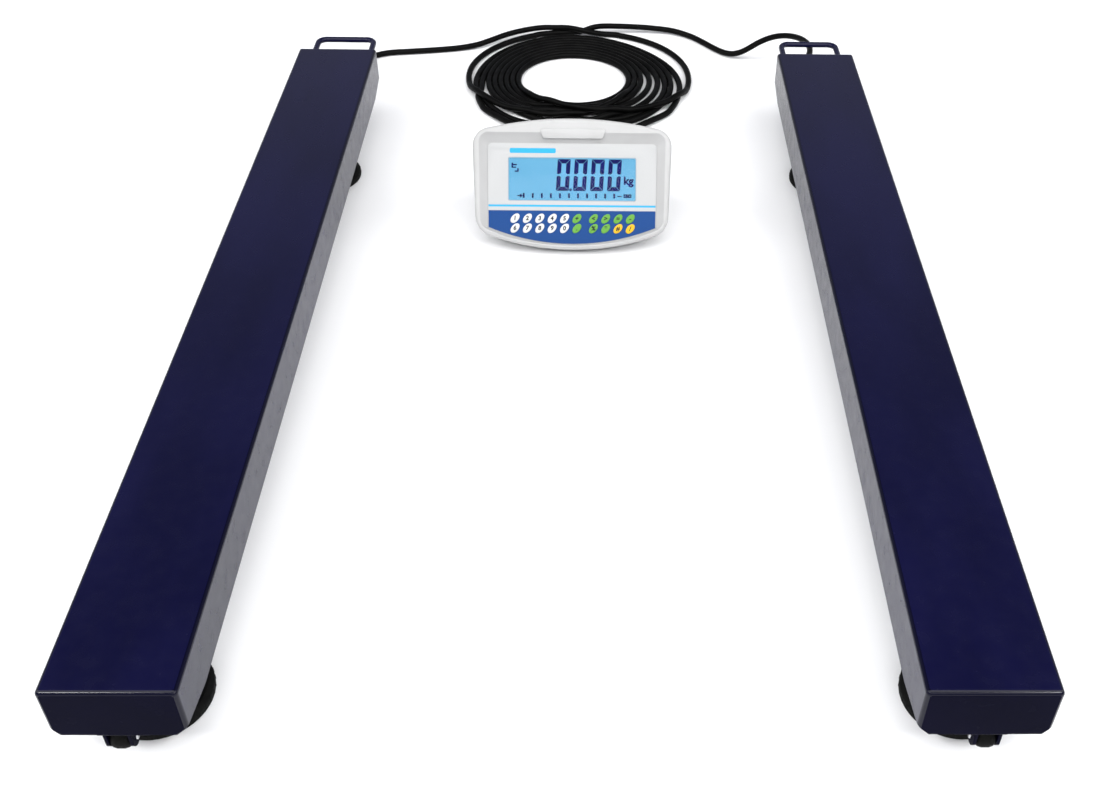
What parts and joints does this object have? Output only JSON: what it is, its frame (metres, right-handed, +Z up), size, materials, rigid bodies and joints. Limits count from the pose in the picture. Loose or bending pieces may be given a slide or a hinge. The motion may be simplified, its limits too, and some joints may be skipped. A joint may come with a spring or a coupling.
{
  "type": "pallet scale",
  "caption": "Low-profile pallet weighing scale: two loose steel weigh beams on load feet, cabled to a desk indicator with display and keypad.",
  "frame": {"origin": "on the floor, midway between the two beams across, and midway along the beams with their handles", "axes": "+Z up; +Y along the beams, from their roller ends to their handle ends; +X to the right, seen from the roller ends"},
  "size_m": [0.873, 1.5242, 0.1604],
  "materials": {
    "navy_powder_coat": "gloss powder coat",
    "zinc_steel": "bright zinc",
    "load_cell_alloy": "machined",
    "black_rubber": "matt moulded",
    "black_nylon": "moulded",
    "cable_sheath": "smooth matt sheath",
    "white_case": "fine satin",
    "keypad_overlay": "printed film",
    "display_window": "clear, over a blue backlight",
    "display_cell": "lit",
    "circuit_board": "solder mask",
    "battery_case": "matt",
    "key_white": "printed film",
    "key_green": "printed film",
    "key_yellow": "printed film"
  },
  "bodies": {
    "indicator": {"front_shell": "white_case", "rear_shell": "white_case", "keypad_overlay": "keypad_overlay", "display_window": "display_window", "display_cell": "display_cell", "circuit_board": "circuit_board", "battery": "battery_case", "rubber_strip_front": "black_rubber", "rubber_strip_rear": "black_rubber", "cable_coil": "cable_sheath", "left_lead": "cable_sheath", "right_lead": "cable_sheath", "left_plug": "black_nylon", "right_plug": "black_nylon"},
    "left_beam": {"left_deck": "navy_powder_coat", "left_stiffener": "navy_powder_coat", "left_load_cell_near": "load_cell_alloy", "left_load_cell_far": "load_cell_alloy", "left_handle": "navy_powder_coat", "left_roller_fork": "navy_powder_coat", "left_roller_axle": "zinc_steel", "left_gland": "black_nylon", "left_cable": "cable_sheath"},
    "right_beam": {"right_deck": "navy_powder_coat", "right_stiffener": "navy_powder_coat", "right_load_cell_near": "load_cell_alloy", "right_load_cell_far": "load_cell_alloy", "right_handle": "navy_powder_coat", "right_roller_fork": "navy_powder_coat", "right_roller_axle": "zinc_steel", "right_gland": "black_nylon", "right_cable": "cable_sheath"},
    "left_roller": {"left_roller": "black_rubber"},
    "right_roller": {"right_roller": "black_rubber"},
    "left_foot_near": {"left_foot_near": "black_rubber"},
    "left_foot_far": {"left_foot_far": "black_rubber"},
    "right_foot_near": {"right_foot_near": "black_rubber"},
    "right_foot_far": {"right_foot_far": "black_rubber"},
    "key_upper_01": {"key_upper_01": "key_white"},
    "key_upper_02": {"key_upper_02": "key_white"},
    "key_upper_03": {"key_upper_03": "key_white"},
    "key_upper_04": {"key_upper_04": "key_white"},
    "key_upper_05": {"key_upper_05": "key_white"},
    "key_upper_06": {"key_upper_06": "key_green"},
    "key_upper_07": {"key_upper_07": "key_green"},
    "key_upper_08": {"key_upper_08": "key_green"},
    "key_upper_09": {"key_upper_09": "key_green"},
    "key_upper_10": {"key_upper_10": "key_green"},
    "key_lower_01": {"key_lower_01": "key_white"},
    "key_lower_02": {"key_lower_02": "key_white"},
    "key_lower_03": {"key_lower_03": "key_white"},
    "key_lower_04": {"key_lower_04": "key_white"},
    "key_lower_05": {"key_lower_05": "key_white"},
    "key_lower_06": {"key_lower_06": "key_green"},
    "key_lower_07": {"key_lower_07": "key_green"},
    "key_lower_08": {"key_lower_08": "key_green"},
    "key_lower_09": {"key_lower_09": "key_yellow"},
    "key_lower_10": {"key_lower_10": "key_yellow"}
  },
  "joints": [
    {"name": "left_beam_slide", "type": "slide", "parent": "indicator", "child": "left_beam", "axis": [-1, 0, 0], "range_m": [-0.08, 0.2], "deforming": ["left_cable"]},
    {"name": "right_beam_slide", "type": "slide", "parent": "indicator", "child": "right_beam", "axis": [1, 0, 0], "range_m": [-0.08, 0.2], "deforming": ["right_cable"]},
    {"name": "left_roller_spin", "type": "hinge", "parent": "left_beam", "child": "left_roller", "pos_m": [-0.3875, -0.62, 0.0302], "axis": [1, 0, 0], "continuous": true},
    {"name": "right_roller_spin", "type": "hinge", "parent": "right_beam", "child": "right_roller", "pos_m": [0.3875, -0.62, 0.0302], "axis": [1, 0, 0], "continuous": true},
    {"name": "left_foot_near_level", "type": "slide", "parent": "left_beam", "child": "left_foot_near", "axis": [0, 0, -1], "range_m": [-0.003, 0.003]},
    {"name": "left_foot_far_level", "type": "slide", "parent": "left_beam", "child": "left_foot_far", "axis": [0, 0, -1], "range_m": [-0.003, 0.003]},
    {"name": "right_foot_near_level", "type": "slide", "parent": "right_beam", "child": "right_foot_near", "axis": [0, 0, -1], "range_m": [-0.003, 0.003]},
    {"name": "right_foot_far_level", "type": "slide", "parent": "right_beam", "child": "right_foot_far", "axis": [0, 0, -1], "range_m": [-0.003, 0.003]},
    {"name": "key_upper_01_press", "type": "slide", "parent": "indicator", "child": "key_upper_01", "axis": [0, 0.809, -0.5878], "range_m": [0, 0.0007], "stiffness_N_per_m": 1500},
    {"name": "key_upper_02_press", "type": "slide", "parent": "indicator", "child": "key_upper_02", "axis": [0, 0.809, -0.5878], "range_m": [0, 0.0007], "stiffness_N_per_m": 1500},
    {"name": "key_upper_03_press", "type": "slide", "parent": "indicator", "child": "key_upper_03", "axis": [0, 0.809, -0.5878], "range_m": [0, 0.0007], "stiffness_N_per_m": 1500},
    {"name": "key_upper_04_press", "type": "slide", "parent": "indicator", "child": "key_upper_04", "axis": [0, 0.809, -0.5878], "range_m": [0, 0.0007], "stiffness_N_per_m": 1500},
    {"name": "key_upper_05_press", "type": "slide", "parent": "indicator", "child": "key_upper_05", "axis": [0, 0.809, -0.5878], "range_m": [0, 0.0007], "stiffness_N_per_m": 1500},
    {"name": "key_upper_06_press", "type": "slide", "parent": "indicator", "child": "key_upper_06", "axis": [0, 0.809, -0.5878], "range_m": [0, 0.0007], "stiffness_N_per_m": 1500},
    {"name": "key_upper_07_press", "type": "slide", "parent": "indicator", "child": "key_upper_07", "axis": [0, 0.809, -0.5878], "range_m": [0, 0.0007], "stiffness_N_per_m": 1500},
    {"name": "key_upper_08_press", "type": "slide", "parent": "indicator", "child": "key_upper_08", "axis": [0, 0.809, -0.5878], "range_m": [0, 0.0007], "stiffness_N_per_m": 1500},
    {"name": "key_upper_09_press", "type": "slide", "parent": "indicator", "child": "key_upper_09", "axis": [0, 0.809, -0.5878], "range_m": [0, 0.0007], "stiffness_N_per_m": 1500},
    {"name": "key_upper_10_press", "type": "slide", "parent": "indicator", "child": "key_upper_10", "axis": [0, 0.809, -0.5878], "range_m": [0, 0.0007], "stiffness_N_per_m": 1500},
    {"name": "key_lower_01_press", "type": "slide", "parent": "indicator", "child": "key_lower_01", "axis": [0, 0.809, -0.5878], "range_m": [0, 0.0007], "stiffness_N_per_m": 1500},
    {"name": "key_lower_02_press", "type": "slide", "parent": "indicator", "child": "key_lower_02", "axis": [0, 0.809, -0.5878], "range_m": [0, 0.0007], "stiffness_N_per_m": 1500},
    {"name": "key_lower_03_press", "type": "slide", "parent": "indicator", "child": "key_lower_03", "axis": [0, 0.809, -0.5878], "range_m": [0, 0.0007], "stiffness_N_per_m": 1500},
    {"name": "key_lower_04_press", "type": "slide", "parent": "indicator", "child": "key_lower_04", "axis": [0, 0.809, -0.5878], "range_m": [0, 0.0007], "stiffness_N_per_m": 1500},
    {"name": "key_lower_05_press", "type": "slide", "parent": "indicator", "child": "key_lower_05", "axis": [0, 0.809, -0.5878], "range_m": [0, 0.0007], "stiffness_N_per_m": 1500},
    {"name": "key_lower_06_press", "type": "slide", "parent": "indicator", "child": "key_lower_06", "axis": [0, 0.809, -0.5878], "range_m": [0, 0.0007], "stiffness_N_per_m": 1500},
    {"name": "key_lower_07_press", "type": "slide", "parent": "indicator", "child": "key_lower_07", "axis": [0, 0.809, -0.5878], "range_m": [0, 0.0007], "stiffness_N_per_m": 1500},
    {"name": "key_lower_08_press", "type": "slide", "parent": "indicator", "child": "key_lower_08", "axis": [0, 0.809, -0.5878], "range_m": [0, 0.0007], "stiffness_N_per_m": 1500},
    {"name": "key_lower_09_press", "type": "slide", "parent": "indicator", "child": "key_lower_09", "axis": [0, 0.809, -0.5878], "range_m": [0, 0.0007], "stiffness_N_per_m": 1500},
    {"name": "key_lower_10_press", "type": "slide", "parent": "indicator", "child": "key_lower_10", "axis": [0, 0.809, -0.5878], "range_m": [0, 0.0007], "stiffness_N_per_m": 1500}
  ]
}
